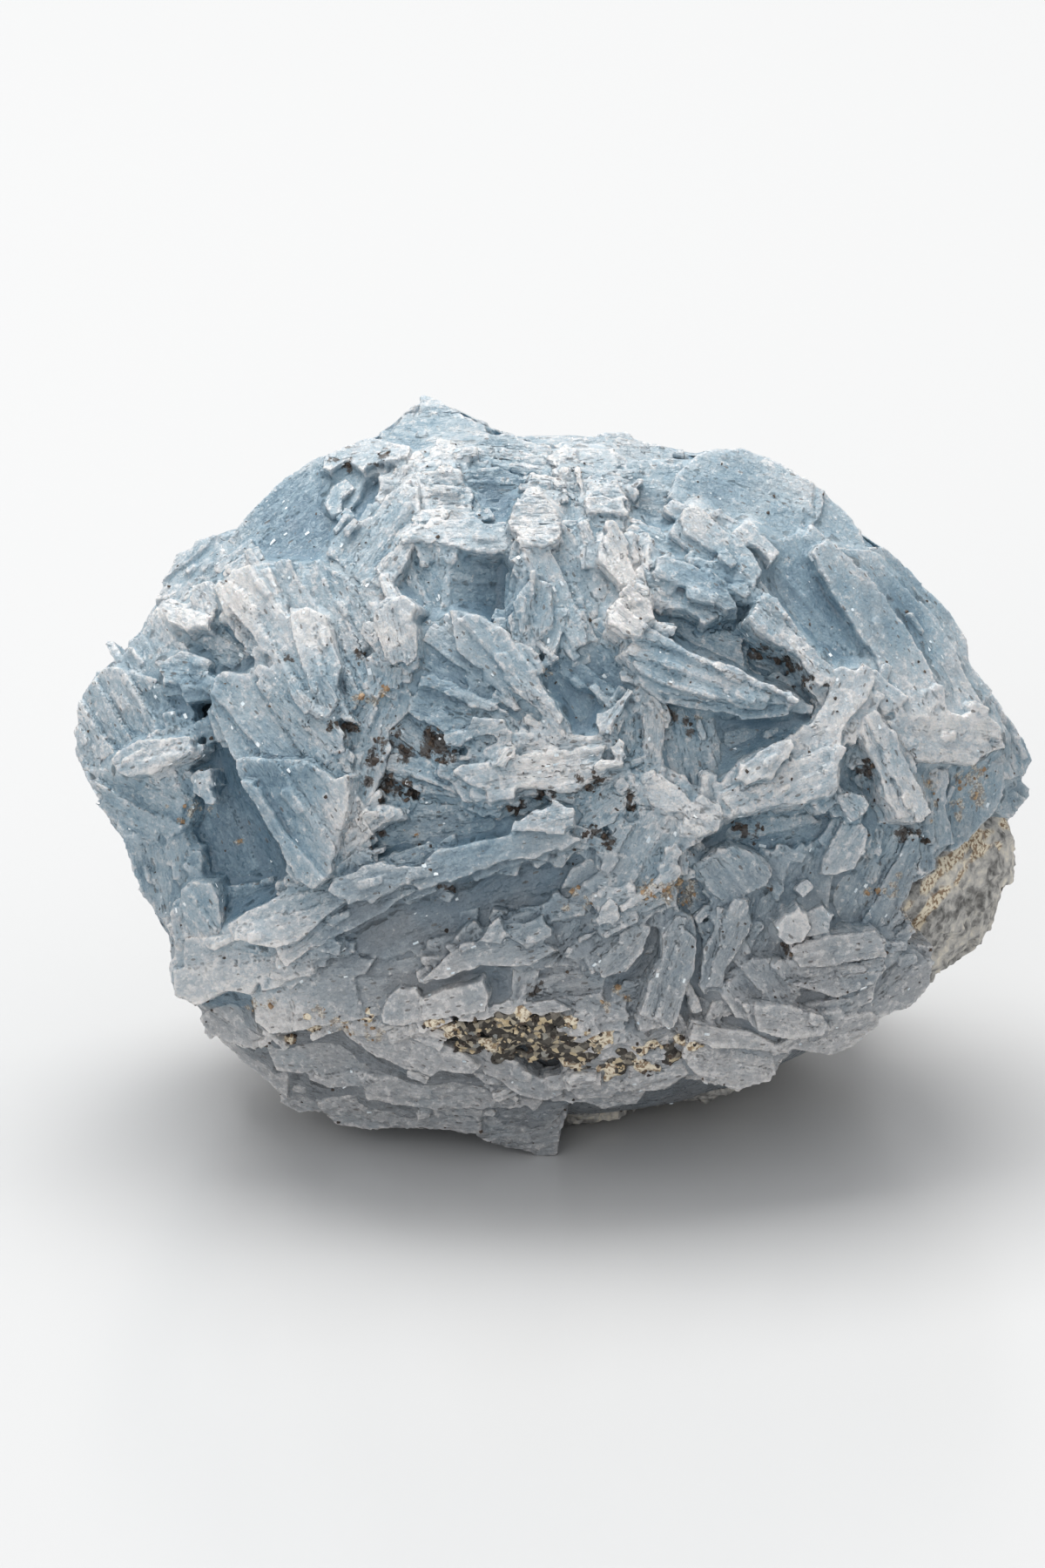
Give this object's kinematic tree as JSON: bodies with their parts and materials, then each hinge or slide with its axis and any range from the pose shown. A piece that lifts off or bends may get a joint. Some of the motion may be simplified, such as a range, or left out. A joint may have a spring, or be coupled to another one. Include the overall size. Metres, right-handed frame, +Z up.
{
  "type": "blue baryte specimen",
  "caption": "Domed cluster of intergrown pale-blue bladed baryte crystals on a grey-tan host rock that rests on its rough underside.",
  "frame": {"origin": "middle of the whole outline, at the surface that the specimen rests on", "axes": "+X to the right along the longest way, +Y to the back, +Z up; the displayed crystal face looks towards -Y"},
  "size_m": [0.0702, 0.0476, 0.052],
  "materials": {
    "baryte": "waxy, slightly translucent, dusted with fine sparkling grains",
    "host_rock": "rough and dull"
  },
  "bodies": {
    "root": {"baryte_blades": "baryte", "host_rock": "host_rock"}
  },
  "joints": []
}
